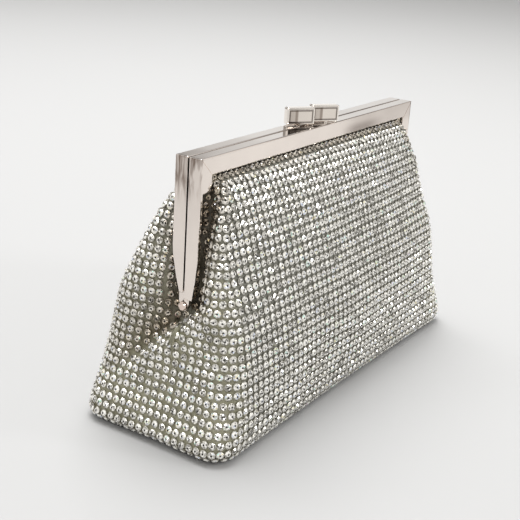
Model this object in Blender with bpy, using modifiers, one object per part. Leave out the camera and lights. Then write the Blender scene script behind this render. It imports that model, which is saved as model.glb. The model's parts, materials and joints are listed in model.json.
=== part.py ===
"""Framed evening bag: kiss-lock frame in two hinged halves, crystal-mesh shell, lining and flat base.

Units are millimetres in the constants and metres in the scene. X runs along the frame, -Y is the
front, +Z is up, and the bag stands on z = 0.
"""

import math

import bmesh
import bpy
import numpy as np
from mathutils import Matrix

MM = 0.001
FRAME_Y = -4.4              # the frame's closing plane, ahead of the middle of the deeper base

# Frame: each half is a folded channel, open towards the bag
FRAME_HALF_LENGTH = 90.0
FRAME_TOP = 118.5
GAP = 0.3                   # half of the joint line between the two halves
CHANNEL_DEPTH = 6.3
SHEET = 0.8
RAIL_HEIGHT = 7.5
CORNER_FLANGE = 7.8         # flange of the arm just under the corner
ARM_FLANGE = 2.2            # flange of the arm lower down
CORNER_FLANGE_END = 107.5
ARM_FLANGE_START = 104.0
FRONT_TIP = 60.0
REAR_TIP = 62.5
TIP_NARROWING = (1.1, 9.0)  # the flange loses this width over this height at the foot of the arm
FRAME_BEVEL = 0.55
MITRE_WIDTH = 0.25
MITRE_DEPTH = 0.18

# Hinge at the foot of each arm
PIVOT_Z = 57.0
LUG_RADIUS = 2.2
LUG_NECK = (0.5, 2.9)
LUG_SHEET = 0.8
FRONT_LUG_X = 89.7
REAR_LUG_X = 88.6
PIN_RADIUS = 1.0
PIN_HOLE_RADIUS = 1.09

# Clasp: two slanted bars that pass each other
BAR_SIZE = (13.4, 4.2, 7.7)
BAR_BASE = 118.8
BAR_ANGLE = -35.0
BAR_X = 7.25
BAR_Y = 2.0
STEM_Y = 3.0
STEM_RADIUS = 1.2
STEM_HOLE_RADIUS = 1.28
STEM_HEAD_RADIUS = 1.6

# Soft shell
MESH_SHEET = 0.8
LINING_SHEET = 0.5
LINING_INSET = 1.5
SPLIT_Z = 57.0              # the shell folds here when the frame opens
SPLIT_GAP = 0.3
MESH_TOP = 116.4
LINING_TOP = 116.0
MESH_CHANNEL_Y = 5.15
LINING_CHANNEL_Y = 3.4
CHANNEL_END_X = 88.7
GROOVE_WIDTH = 4.3          # between the arm and the bulge beside it
GROOVE_END = 94.0
STRIP = (168.0, 1.0, 4.4)   # retaining strip in the rail
STRIP_Y = 2.1
STRIP_BASE = 111.7

# Base
BASE_SHEET = 1.2
BASE_INSET = 2.0
BOARD_INSET = 4.2
BOARD_BASE = 1.7
BOARD_SHEET = 2.0
LINING_BASE = 4.2

# Level: height, half length, corner centre depth, corner radius, depth at mid-length
FRONT_LEVELS = [
    (0.0, 101.5, 20.6, 10.0, 29.0),
    (1.5, 103.8, 21.8, 10.0, 30.6),
    (4.0, 105.5, 22.9, 10.0, 31.8),
    (9.0, 104.2, 22.7, 10.5, 32.3),
    (16.0, 101.4, 21.0, 11.5, 32.6),
    (23.0, 99.0, 19.8, 12.2, 32.6),
    (35.0, 96.0, 17.5, 13.4, 32.1),
    (48.0, 94.5, 16.8, 12.0, 30.3),
    (57.0, 93.7, 16.2, 10.0, 28.3),
    (64.0, 92.7, 15.0, 8.0, 26.6),
    (71.0, 91.3, 14.2, 6.2, 24.6),
    (80.0, 89.0, 13.4, 5.0, 21.9),
    (90.0, 86.5, 12.2, 4.0, 18.6),
    (98.0, 83.0, 10.2, 3.2, 15.4),
    (103.5, 80.5, 8.6, 2.6, 12.2),
    (107.5, 79.5, 7.3, 2.0, 9.4),
    (110.5, 79.5, 6.6, 1.6, 7.6),
    (118.0, 79.5, 6.0, 1.6, 7.0),
]
REAR_LEVELS = [
    (0.0, 101.5, 29.0, 10.0, 36.5),
    (1.5, 103.8, 30.4, 10.5, 38.6),
    (4.0, 105.5, 31.2, 11.0, 40.0),
    (9.0, 104.2, 30.8, 11.4, 40.9),
    (16.0, 101.4, 29.0, 12.8, 41.4),
    (23.0, 99.0, 27.6, 13.9, 41.7),
    (35.0, 96.0, 26.3, 15.0, 41.6),
    (48.0, 94.5, 25.2, 14.0, 40.2),
    (57.0, 93.7, 24.9, 12.2, 38.0),
    (64.0, 92.7, 23.4, 10.0, 34.8),
    (71.0, 91.3, 21.8, 8.0, 31.4),
    (80.0, 89.0, 19.2, 6.2, 26.9),
    (90.0, 86.5, 16.0, 4.6, 21.8),
    (98.0, 83.0, 12.8, 3.6, 17.4),
    (103.5, 80.5, 10.0, 2.8, 13.8),
    (107.5, 79.5, 7.8, 2.1, 10.2),
    (110.5, 79.5, 6.8, 1.6, 7.8),
    (118.0, 79.5, 6.0, 1.6, 7.0),
]
# Groove of the side seam under the arms: height, half length at the seam, half width of the groove
SEAM_LEVELS = [
    (0.0, 101.5, 1.5),
    (4.0, 105.5, 1.5),
    (16.0, 101.4, 1.5),
    (23.0, 99.0, 1.5),
    (35.0, 96.0, 1.5),
    (44.0, 94.0, 1.6),
    (49.0, 90.8, 2.4),
    (53.0, 86.4, 3.2),
    (57.0, 85.0, 3.6),
]
LOWER_ROWS = (0.0, 1.5, 4.0, 9.0, 16.0, 25.0, 35.0, 43.0, 48.0, 52.0, 54.5)
UPPER_ROWS = (61.0, 66.0, 71.0, 78.0, 86.0, 94.0, 101.0, 105.0, 108.0, 110.2, 111.6)
FACE_STEPS = 8
CORNER_STEPS = 4

COLOURS = {
    "polished_metal": ((0.80, 0.74, 0.69), 0.10, 1.0),
    "crystal_mesh": ((0.62, 0.62, 0.60), 0.25, 0.6),
    "lining_satin": ((0.55, 0.54, 0.53), 0.55, 0.0),
    "fibre_board": ((0.32, 0.29, 0.25), 0.85, 0.0),
    "strip_metal": ((0.55, 0.52, 0.49), 0.35, 1.0),
}


def clear_scene():
    for obj in list(bpy.data.objects):
        bpy.data.objects.remove(obj, do_unlink=True)


def make_collection(name, hidden=False):
    collection = bpy.data.collections.new(name)
    bpy.context.scene.collection.children.link(collection)
    collection.hide_render = hidden
    return collection


def make_material(name):
    colour, roughness, metallic = COLOURS[name]
    material = bpy.data.materials.new(name)
    material.use_nodes = True
    shader = material.node_tree.nodes["Principled BSDF"]
    shader.inputs["Base Color"].default_value = (*colour, 1.0)
    shader.inputs["Roughness"].default_value = roughness
    shader.inputs["Metallic"].default_value = metallic
    material.diffuse_color = (*colour, 1.0)
    return material


def object_from(bm, name, collection, material=None):
    bmesh.ops.recalc_face_normals(bm, faces=bm.faces)
    mesh = bpy.data.meshes.new(name)
    bm.to_mesh(mesh)
    bm.free()
    obj = bpy.data.objects.new(name, mesh)
    collection.objects.link(obj)
    if material:
        mesh.materials.append(material)
    else:
        obj.hide_render = True
        obj.display_type = "WIRE"
    return obj


def world(x, y, z):
    """A point given from the frame's closing plane, in metres."""
    return (x * MM, (y + FRAME_Y) * MM, z * MM)


def prism(outline, low, high, axis):
    """A closed prism: the outline lies across the axis ("X", "Y" or "Z"), between low and high."""
    def place(first, second, along):
        if axis == "X":
            return world(along, first, second)
        if axis == "Y":
            return world(first, along, second)
        return world(first, second, along)

    bm = bmesh.new()
    ring = [bm.verts.new(place(a, b, low)) for a, b in outline]
    face = bm.faces.new(ring)
    grown = bmesh.ops.extrude_face_region(bm, geom=[face])
    shift = np.subtract(place(0, 0, high), place(0, 0, low))
    moved = [item for item in grown["geom"] if isinstance(item, bmesh.types.BMVert)]
    bmesh.ops.translate(bm, verts=moved, vec=shift)
    return bm


def box(size, centre, turn=0.0):
    bm = bmesh.new()
    bmesh.ops.create_cube(bm, size=1.0)
    bmesh.ops.scale(bm, verts=bm.verts, vec=[side * MM for side in size])
    turn_matrix = bpy_rotation(turn)
    bmesh.ops.rotate(bm, verts=bm.verts, cent=(0, 0, 0), matrix=turn_matrix)
    bmesh.ops.translate(bm, verts=bm.verts, vec=world(*centre))
    return bm


def bpy_rotation(degrees, axis="Z"):
    return Matrix.Rotation(math.radians(degrees), 3, axis)


def lathe(profile, centre, axis, steps=32):
    """A turned piece: the profile is (along the axis, radius), with both ends on the axis."""
    bm = bmesh.new()
    verts = [bm.verts.new((along * MM, radius * MM, 0)) for along, radius in profile]
    edges = [bm.edges.new(pair) for pair in zip(verts, verts[1:])]
    bmesh.ops.spin(
        bm, geom=verts + edges, cent=(0, 0, 0), axis=(1, 0, 0), angle=math.tau, steps=steps,
        use_merge=False,
    )
    bmesh.ops.remove_doubles(bm, verts=bm.verts, dist=1e-7)
    if axis == "Z":
        bmesh.ops.rotate(bm, verts=bm.verts, cent=(0, 0, 0), matrix=bpy_rotation(-90, "Y"))
    bmesh.ops.translate(bm, verts=bm.verts, vec=world(*centre))
    return bm


def add_bevel(obj, width, segments=3, angle=35.0):
    bevel = obj.modifiers.new("edge", "BEVEL")
    bevel.width = width * MM
    bevel.segments = segments
    bevel.limit_method = "ANGLE"
    bevel.angle_limit = math.radians(angle)
    return bevel


def add_boolean(obj, other, operation):
    modifier = obj.modifiers.new(other.name, "BOOLEAN")
    modifier.operation = operation
    modifier.solver = "EXACT"
    modifier.object = other
    return modifier


def add_thickness(obj, sheet):
    solid = obj.modifiers.new("sheet", "SOLIDIFY")
    solid.thickness = sheet * MM
    solid.offset = -1.0
    solid.thickness_clamp = 0.0
    return solid


# ---------------------------------------------------------------- frame


def frame_outline(tip):
    """Half length outline of the flange, mirrored left to right."""
    inner_rail = FRAME_TOP - RAIL_HEIGHT
    arm_inner = FRAME_HALF_LENGTH - ARM_FLANGE
    corner_inner = FRAME_HALF_LENGTH - CORNER_FLANGE
    right = [
        (FRAME_HALF_LENGTH, FRAME_TOP),
        (FRAME_HALF_LENGTH, tip),
        (arm_inner + TIP_NARROWING[0], tip),
        (arm_inner, tip + TIP_NARROWING[1]),
    ]
    for step in range(CORNER_STEPS + 1):
        angle = math.pi / 2 * step / CORNER_STEPS
        x = arm_inner - (arm_inner - corner_inner) * math.sin(angle)
        drop = (CORNER_FLANGE_END - ARM_FLANGE_START) * math.cos(angle)
        right.append((x, CORNER_FLANGE_END - drop))
    right.append((corner_inner, inner_rail))
    left = [(-x, z) for x, z in reversed(right)]
    return right + left


def lug_outline(side, top):
    """Flat ear that carries the hinge pin: a neck from the arm and a round end."""
    low, high = LUG_NECK
    meet = math.acos(low / LUG_RADIUS)
    points = [(side * high, top), (side * low, top)]
    for step in range(13):
        angle = meet + (math.tau - meet) * step / 12
        points.append((side * LUG_RADIUS * math.cos(angle), PIVOT_Z + LUG_RADIUS * math.sin(angle)))
    points.append((side * high, PIVOT_Z + 1.6))
    return points


def taper_outline(side):
    """What is cut from the foot of the arm, seen from the side: depth and height."""
    if side > 0:
        return [(6.6, 88.0), (5.7, 78.0), (3.9, 69.5), (0.6, 58.0), (9.5, 58.0), (9.5, 88.0)]
    return [(-6.5, 80.0), (-5.7, 69.0), (-4.0, 58.0), (-9.0, 58.0), (-9.0, 80.0)]


def make_frame(side, name, parts, cutters, material):
    tip = FRONT_TIP if side < 0 else REAR_TIP
    near, far = sorted((side * GAP, side * CHANNEL_DEPTH))
    frame = object_from(prism(frame_outline(tip), near, far, "Y"), name, parts, material)
    add_bevel(frame, FRAME_BEVEL)

    low, high = sorted((side * (GAP + SHEET), side * (CHANNEL_DEPTH - SHEET)))
    inner = FRAME_HALF_LENGTH - SHEET
    outline = [(-inner, 50), (inner, 50), (inner, FRAME_TOP - SHEET), (-inner, FRAME_TOP - SHEET)]
    channel = object_from(prism(outline, low, high, "Y"), name + "_channel", cutters)
    add_boolean(frame, channel, "DIFFERENCE")

    for end, label in ((-1, "left"), (1, "right")):
        x_low, x_high = sorted((end * 80.0, end * 95.0))
        taper = prism(taper_outline(side), x_low, x_high, "X")
        taper = object_from(taper, f"{name}_{label}_taper", cutters)
        add_boolean(frame, taper, "DIFFERENCE")

        lug_x = FRONT_LUG_X if side < 0 else REAR_LUG_X
        x_low, x_high = sorted((end * (lug_x - LUG_SHEET), end * lug_x))
        lug = prism(lug_outline(side, 68.0 if side < 0 else 72.0), x_low, x_high, "X")
        lug = object_from(lug, f"{name}_{label}_lug", cutters)
        add_boolean(frame, lug, "UNION")
        if side > 0:
            x_low, x_high = sorted((end * (REAR_LUG_X - 0.5), end * 89.7))
            outline = [(1.3, 68.6), (2.7, 68.6), (2.7, 71.6), (1.3, 71.6)]
            jog = object_from(prism(outline, x_low, x_high, "X"), f"{name}_{label}_jog", cutters)
            add_boolean(frame, jog, "UNION")

        profile = [(-5, 0), (-5, PIN_HOLE_RADIUS), (5, PIN_HOLE_RADIUS), (5, 0)]
        hole = lathe(profile, (end * 88.8, 0, PIVOT_Z), "X")
        hole = object_from(hole, f"{name}_{label}_pin_hole", cutters)
        add_boolean(frame, hole, "DIFFERENCE")

        size = (24.0, 8.0, MITRE_WIDTH)
        depth = side * (CHANNEL_DEPTH + 4.0 - MITRE_DEPTH)
        groove = box(size, (0, 0, 0))
        bmesh.ops.rotate(groove, verts=groove.verts, cent=world(0, 0, 0),
                         matrix=bpy_rotation(end * -45.0, "Y"))
        corner = np.subtract(world(end * 86.1, depth, FRAME_TOP - 3.9), world(0, 0, 0))
        bmesh.ops.translate(groove, verts=groove.verts, vec=corner)
        groove = object_from(groove, f"{name}_{label}_mitre", cutters)
        add_boolean(frame, groove, "DIFFERENCE")

    profile = [(-4, 0), (-4, STEM_HOLE_RADIUS), (4, STEM_HOLE_RADIUS), (4, 0)]
    hole = lathe(profile, (-side * BAR_X, side * STEM_Y, FRAME_TOP), "Z")
    add_boolean(frame, object_from(hole, name + "_stem_hole", cutters), "DIFFERENCE")
    return frame


def make_strip(side, name, parts, material):
    length, sheet, height = STRIP
    centre = (0, side * STRIP_Y, STRIP_BASE + height / 2)
    strip = object_from(box((length, sheet, height), centre), name, parts, material)
    add_bevel(strip, 0.2, 2)
    return strip


def make_rivet(end, name, parts, material):
    profile = [(2.35, 0), (2.3, 0.9), (2.05, 1.6), (1.6, 2.0), (1.35, 2.0), (1.35, PIN_RADIUS),
               (-1.15, PIN_RADIUS), (-1.15, 1.7), (-1.5, 1.6), (-1.75, 1.0), (-1.8, 0)]
    profile = [(end * along, radius) for along, radius in profile]
    return object_from(lathe(profile, (end * 88.65, 0, PIVOT_Z), "X"), name, parts, material)


def make_clasp_bar(side, name, parts, cutters, material):
    """A slanted bar cast with its stem; the stem's tail is spread under the rail."""
    x = side * BAR_X
    centre = (-x, side * BAR_Y, BAR_BASE + BAR_SIZE[2] / 2)
    bar = object_from(box(BAR_SIZE, centre, BAR_ANGLE), name, parts, material)
    add_bevel(bar, 0.7)
    profile = [(-1.6, 0), (-1.6, STEM_HEAD_RADIUS - 0.2), (-1.4, STEM_HEAD_RADIUS),
               (-1.1, STEM_HEAD_RADIUS), (-1.1, STEM_RADIUS), (3.0, STEM_RADIUS), (3.0, 0)]
    stem = lathe(profile, (-x, side * STEM_Y, FRAME_TOP), "Z")
    add_boolean(bar, object_from(stem, name + "_stem", cutters), "UNION")
    return bar


# ---------------------------------------------------------------- soft shell


def level(table, z):
    rows = np.array(table)
    return [float(np.interp(z, rows[:, 0], rows[:, column])) for column in range(1, rows.shape[1])]


def smooth(value):
    value = min(1.0, max(0.0, value))
    return value * value * (3 - 2 * value)


def half_section(side, z, inset=0.0, channel_y=MESH_CHANNEL_Y):
    """One half of the plan outline at a height, from the left arm or seam to the right one."""
    half, corner_y, radius, depth = level(FRONT_LEVELS if side < 0 else REAR_LEVELS, z)
    half -= inset
    depth -= inset
    radius = max(1.2 if inset else 0.5, radius - inset)
    if z > SPLIT_Z:
        flange = np.interp(z, [ARM_FLANGE_START, CORNER_FLANGE_END], [ARM_FLANGE, CORNER_FLANGE])
        edge = FRAME_HALF_LENGTH - flange - 0.8
        open_groove = 1 - smooth((z - GROOVE_END) / 10.0)
        valley = min(86.0, half + inset + 0.8 - GROOVE_WIDTH * open_groove, edge - 1.0)
        valley_y = min(7.4, corner_y - 1.0)
        rise = max(0.0, valley_y - 1.6 - channel_y) * open_groove
        start = [(CHANNEL_END_X, channel_y), (valley, channel_y + rise)]
        if inset:
            valley -= 1.2 * inset + 0.6
            valley_y = min(corner_y - 0.4, valley_y + (2 * inset + 0.5) * open_groove - inset)
            half = valley + 0.4 * (half - valley)
            start = [(CHANNEL_END_X - 0.3, channel_y), (valley + 0.3, channel_y + 0.2)]
    else:
        valley, valley_y = level(SEAM_LEVELS, z)
        valley -= inset * (1.0 if z < 40 else 1.5)
        valley_y += inset
        start = [(valley, 0.25), (valley, valley_y * 0.5)]
    points = list(start)
    for step in range(CORNER_STEPS):
        angle = math.pi / 2 * step / CORNER_STEPS
        x = valley + (half - valley) * math.sin(angle)
        points.append((x, corner_y - (corner_y - valley_y) * math.cos(angle)))
    centre_x = half - radius
    for step in range(CORNER_STEPS):
        angle = math.pi / 2 * step / CORNER_STEPS
        points.append((centre_x + radius * math.cos(angle), corner_y + radius * math.sin(angle)))
    for step in range(FACE_STEPS):
        x = centre_x * (1 - step / FACE_STEPS)
        bow = (1 - (x / centre_x) ** 2) ** 0.9
        points.append((x, corner_y + radius + (depth - corner_y - radius) * bow))
    left = [(-x, side * y) for x, y in points]
    right = [(x, side * y) for x, y in reversed(points)]
    outline = np.array(left + [(0.0, side * depth)] + right)
    if z > SPLIT_Z:
        flat_from = FRAME_TOP - RAIL_HEIGHT + 0.2 - 1.2 * inset
        weight = smooth((flat_from - z) / 4.6)
        steps = np.linalg.norm(np.diff(outline, axis=0), axis=1)
        run = np.concatenate([[0.0], np.cumsum(steps)])
        spread = outline[-1, 0] * (2 * run / run[-1] - 1)
        flat = np.column_stack([spread, np.full(len(outline), side * channel_y)])
        outline = weight * outline + (1 - weight) * flat
    return outline


def loft_panel(sections, heights):
    """An open sheet through the sections."""
    bm = bmesh.new()
    rows = [
        [bm.verts.new(world(x, y, z)) for x, y in section]
        for section, z in zip(sections, heights)
    ]
    for lower, upper in zip(rows, rows[1:]):
        for index in range(len(lower) - 1):
            bm.faces.new((lower[index], lower[index + 1], upper[index + 1], upper[index]))
    return bm


def sheet_object(bm, name, parts, material, sheet, outward):
    """Thickens a sheet inwards, once its faces look outwards."""
    bm.normal_update()
    fullest = max(bm.faces, key=lambda face: face.calc_center_median().y * outward)
    if fullest.normal.y * outward < 0:
        bmesh.ops.reverse_faces(bm, faces=bm.faces)
    mesh = bpy.data.meshes.new(name)
    bm.to_mesh(mesh)
    bm.free()
    mesh.materials.append(material)
    obj = bpy.data.objects.new(name, mesh)
    parts.objects.link(obj)
    add_thickness(obj, sheet)
    return obj


def make_upper(side, name, parts, material, sheet, inset, channel_y, top):
    heights = [SPLIT_Z + SPLIT_GAP, *UPPER_ROWS, top]
    sections = [half_section(side, z, inset, channel_y) for z in heights]
    return sheet_object(loft_panel(sections, heights), name, parts, material, sheet, side)


def make_lower_mesh(side, name, parts, material):
    heights = [*LOWER_ROWS, SPLIT_Z - SPLIT_GAP]
    sections = [half_section(side, z) for z in heights]
    return sheet_object(loft_panel(sections, heights), name, parts, material, MESH_SHEET, side)


def full_section(z, inset):
    """Front and rear outline joined into one ring."""
    front = half_section(-1, z, inset)
    rear = half_section(1, z, inset)
    return np.vstack([front, rear[::-1]])


def make_lower_lining(name, parts, material):
    heights = [LINING_BASE + 1.6, *[z for z in LOWER_ROWS if z > 8], SPLIT_Z - SPLIT_GAP]
    bm = bmesh.new()
    rows = [[bm.verts.new(world(x, y, LINING_BASE)) for x, y in full_section(LINING_BASE, 3.2)]]
    for z in heights:
        rows.append([bm.verts.new(world(x, y, z)) for x, y in full_section(z, LINING_INSET)])
    for lower, upper in zip(rows, rows[1:]):
        for index in range(len(lower)):
            after = (index + 1) % len(lower)
            bm.faces.new((lower[index], lower[after], upper[after], upper[index]))
    bm.faces.new(list(reversed(rows[0])))
    return sheet_object(bm, name, parts, material, LINING_SHEET, -1)


def make_plate(name, parts, material, inset, low, sheet):
    outline = [tuple(point) for point in full_section(0.0, inset)]
    return object_from(prism(outline, low, low + sheet, "Z"), name, parts, material)


def parent_to_pivot(name, children, parts):
    pivot = bpy.data.objects.new(name, None)
    pivot.empty_display_type = "SINGLE_ARROW"
    pivot.location = world(0, 0, PIVOT_Z)
    parts.objects.link(pivot)
    bpy.context.view_layer.update()
    for child in children:
        child.parent = pivot
        child.matrix_parent_inverse = pivot.matrix_world.inverted()


def main():
    clear_scene()
    parts = make_collection("evening_bag")
    cutters = make_collection("cutters", hidden=True)
    metal = make_material("polished_metal")
    strip_metal = make_material("strip_metal")
    crystal = make_material("crystal_mesh")
    satin = make_material("lining_satin")
    board = make_material("fibre_board")

    for side, word in ((-1, "front"), (1, "rear")):
        frame = make_frame(side, word + "_frame", parts, cutters, metal)
        strip = make_strip(side, word + "_retaining_strip", parts, strip_metal)
        bar = make_clasp_bar(side, word + "_clasp_bar", parts, cutters, metal)
        mesh = make_upper(side, word + "_upper_mesh", parts, crystal, MESH_SHEET, 0.0,
                          MESH_CHANNEL_Y, MESH_TOP)
        lining = make_upper(side, word + "_upper_lining", parts, satin, LINING_SHEET, LINING_INSET,
                            LINING_CHANNEL_Y, LINING_TOP)
        parent_to_pivot(word + "_pivot", (frame, strip, bar, mesh, lining), parts)
        make_lower_mesh(side, word + "_lower_mesh", parts, crystal)

    make_rivet(-1, "left_hinge_rivet", parts, metal)
    make_rivet(1, "right_hinge_rivet", parts, metal)
    make_lower_lining("lower_lining", parts, satin)
    make_plate("base_mesh", parts, crystal, BASE_INSET, 0.0, BASE_SHEET)
    make_plate("base_board", parts, board, BOARD_INSET, BOARD_BASE, BOARD_SHEET)


main()
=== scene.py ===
"""Looks of the framed evening bag: polished frame, crystal mesh over a soft shell, satin lining."""

import math

import bpy
import numpy as np
from mathutils import Matrix, Vector
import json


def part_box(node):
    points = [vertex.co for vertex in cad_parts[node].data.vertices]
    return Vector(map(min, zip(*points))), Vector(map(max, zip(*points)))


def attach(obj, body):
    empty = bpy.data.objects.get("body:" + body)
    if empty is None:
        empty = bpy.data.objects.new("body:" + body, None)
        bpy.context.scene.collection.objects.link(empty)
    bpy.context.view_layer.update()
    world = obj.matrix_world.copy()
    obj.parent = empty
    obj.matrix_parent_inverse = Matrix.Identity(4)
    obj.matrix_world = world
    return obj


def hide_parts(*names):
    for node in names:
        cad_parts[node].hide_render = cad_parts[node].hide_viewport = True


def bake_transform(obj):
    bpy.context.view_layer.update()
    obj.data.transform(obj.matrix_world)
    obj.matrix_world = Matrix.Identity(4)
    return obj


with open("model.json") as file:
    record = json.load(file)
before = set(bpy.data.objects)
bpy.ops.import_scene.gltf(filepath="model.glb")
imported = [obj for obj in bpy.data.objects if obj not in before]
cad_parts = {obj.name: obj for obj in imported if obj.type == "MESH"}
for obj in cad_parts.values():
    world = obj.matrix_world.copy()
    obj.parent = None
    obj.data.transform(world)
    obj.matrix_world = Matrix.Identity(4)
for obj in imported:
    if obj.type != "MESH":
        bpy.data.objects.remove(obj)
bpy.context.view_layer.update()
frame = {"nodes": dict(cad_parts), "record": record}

MM = 0.001

# ---------------------------------------------------------------- sizes, millimetres

hinge = frame["record"]["behaviour"]["joints"][0]["pos_m"]
FRAME_Y = hinge[1] / MM
SPLIT_Z = hinge[2] / MM
FRAME_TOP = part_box("front_frame")[1].z / MM
RAIL_HEIGHT = 7.5
BAR_LENGTH = 13.4
BAR_HEIGHT = 7.7
BAR_ANGLE = -35.0
CHANNEL_END_X = 88.7
CORNER_FLANGE_X = 82.2
ARM_FLANGE_X = 87.8
CORNER_FLANGE_END = 107.5
ARM_FLANGE_START = 104.0
MESH_CHANNEL_Y = (4.2, 5.15)        # where the mesh enters the arms and the rail
LINING_CHANNEL_Y = (1.95, 3.05)
CHANNEL_SHIFT = 5.0                # height over which it moves from the one to the other
FLANGE_CLEARANCE = 1.8
SEAM_GAP = 0.03                    # each side stops this far from the seam under a rivet
SEAM_TOP = 64.0
SEAM_CHANGE = 8.0                  # height over which the seam turns into the edge in the channel
VALLEY_X = 86.0                    # bottom of the groove beside each arm
VALLEY_Y = 7.4
GROOVE_WIDTH = 4.3
GROOVE_END = 94.0
GROOVE_FADE = 10.0

STONE_PITCH = 3.72
STRIP_PITCH = 3.45                 # closer, where the cloth is gathered beside the arms
BACKING_DEPTH = 1.4
GROOVE_CREST_STEPS = 13            # outline steps from the bottom of a groove up to its crest
LINING_INSET = 2.6
BACKING_THICKNESS = 0.5
LINING_THICKNESS = 0.35
BASE_THICKNESS = 0.4
BACKING_HEIGHTS = (0.6, 115.5)
LINING_HEIGHTS = (4.4, 114.5)
SHEET_COLUMNS = 150
SHEET_ROWS = 90
WAVE_HEIGHT = 0.8
FOLD_LIP = 1.5
FOLD_DEPTH = 3.4

# height, half length, corner centre depth, corner radius, depth at mid-length
FRONT_LEVELS = [
    (0.0, 101.5, 20.6, 10.0, 29.0),
    (1.5, 103.8, 21.8, 10.0, 30.6),
    (4.0, 105.5, 22.9, 10.0, 31.8),
    (9.0, 104.2, 22.7, 10.5, 32.3),
    (16.0, 101.4, 21.0, 11.5, 32.6),
    (23.0, 99.0, 19.8, 12.2, 32.6),
    (35.0, 96.0, 17.5, 13.4, 32.1),
    (48.0, 94.5, 16.8, 12.0, 30.3),
    (57.0, 93.7, 16.2, 10.0, 28.3),
    (64.0, 92.7, 15.0, 8.0, 26.6),
    (71.0, 91.3, 14.2, 6.2, 24.6),
    (80.0, 89.0, 13.4, 5.0, 21.9),
    (90.0, 86.5, 12.2, 4.0, 18.6),
    (98.0, 83.0, 10.2, 3.2, 15.4),
    (103.5, 80.5, 8.6, 2.6, 12.2),
    (107.5, 79.5, 7.3, 2.0, 9.4),
    (110.5, 79.5, 6.6, 1.6, 7.6),
    (118.0, 79.5, 6.0, 1.6, 7.0),
]
REAR_LEVELS = [
    (0.0, 101.5, 29.0, 10.0, 36.5),
    (1.5, 103.8, 30.4, 10.5, 38.6),
    (4.0, 105.5, 31.2, 11.0, 40.0),
    (9.0, 104.2, 30.8, 11.4, 40.9),
    (16.0, 101.4, 29.0, 12.8, 41.4),
    (23.0, 99.0, 27.6, 13.9, 41.7),
    (35.0, 96.0, 26.3, 15.0, 41.6),
    (48.0, 94.5, 25.2, 14.0, 40.2),
    (57.0, 93.7, 24.9, 12.2, 38.0),
    (64.0, 92.7, 23.4, 10.0, 34.8),
    (71.0, 91.3, 21.8, 8.0, 31.4),
    (80.0, 89.0, 19.2, 6.2, 26.9),
    (90.0, 86.5, 16.0, 4.6, 21.8),
    (98.0, 83.0, 12.8, 3.6, 17.4),
    (103.5, 80.5, 10.0, 2.8, 13.8),
    (107.5, 79.5, 7.8, 2.1, 10.2),
    (110.5, 79.5, 6.8, 1.6, 7.8),
    (118.0, 79.5, 6.0, 1.6, 7.0),
]
# height, half length at the side seam, half width of the groove there
SEAM_LEVELS = [
    (0.0, 101.5, 0.6),
    (4.0, 105.5, 0.6),
    (16.0, 101.4, 0.6),
    (23.0, 99.0, 0.6),
    (35.0, 96.0, 0.6),
    (44.0, 94.0, 0.7),
    (49.0, 90.8, 1.4),
    (53.0, 86.6, 2.6),
    (57.0, 85.0, 3.6),
    (60.0, 84.5, 5.0),
    (64.0, 84.5, 6.2),
]

TABLE_STEP = 0.5
KERNEL_STEPS = 14
HARD_BELOW, SOFT_ABOVE = 3, 9      # the rounded bottom edge keeps its shape


def smooth_table(table, sigma=2.2):
    """A table resampled at an even step and softened, except at the bottom edge."""
    rows = np.array(table)
    heights = np.arange(0, rows[-1, 0] + 0.01, TABLE_STEP)
    raw = np.column_stack([np.interp(heights, rows[:, 0], column) for column in rows[:, 1:].T])
    kernel = np.arange(-KERNEL_STEPS, KERNEL_STEPS + 1)
    kernel = np.exp(-0.5 * (kernel * TABLE_STEP / sigma) ** 2)
    kernel /= kernel.sum()
    padded = np.pad(raw, ((KERNEL_STEPS, KERNEL_STEPS), (0, 0)), mode="edge")
    soft = np.column_stack([np.convolve(column, kernel, "valid") for column in padded.T])
    share = np.clip((heights - HARD_BELOW) / (SOFT_ABOVE - HARD_BELOW), 0, 1)[:, None]
    return heights, raw * (1 - share) + soft * share


LEVELS = {-1: smooth_table(FRONT_LEVELS), 1: smooth_table(REAR_LEVELS)}
SEAM = smooth_table(SEAM_LEVELS, 1.2)


def level(table, z):
    heights, values = table
    return [float(np.interp(z, heights, column)) for column in values.T]


def smooth(value):
    value = np.clip(value, 0.0, 1.0)
    return value * value * (3 - 2 * value)


def between(pair, share):
    return pair[0] * (1 - share) + pair[1] * share


def lengths_along(line):
    """The length along a line of points, from its first one up to each."""
    return np.concatenate([[0.0], np.cumsum(np.linalg.norm(np.diff(line, axis=0), axis=1))])


def point_at(length, run, line):
    return np.array([np.interp(length, run, line[:, axis]) for axis in range(3)])


def flange_x(z):
    """Where the frame's inner edge is at a height: beside an arm, or further in at a corner."""
    return np.interp(z, [ARM_FLANGE_START, CORNER_FLANGE_END], [ARM_FLANGE_X, CORNER_FLANGE_X])


# outline steps: out of the channel, up the groove's wall, round the corner, on to mid-length
START_STEPS = 8
CORNER_STEPS = 24
ROUND_STEPS = 24
FACE_STEPS = 56
STEADY_STEPS = FACE_STEPS - 4      # so far from mid-length the stones keep a steady pitch


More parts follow.
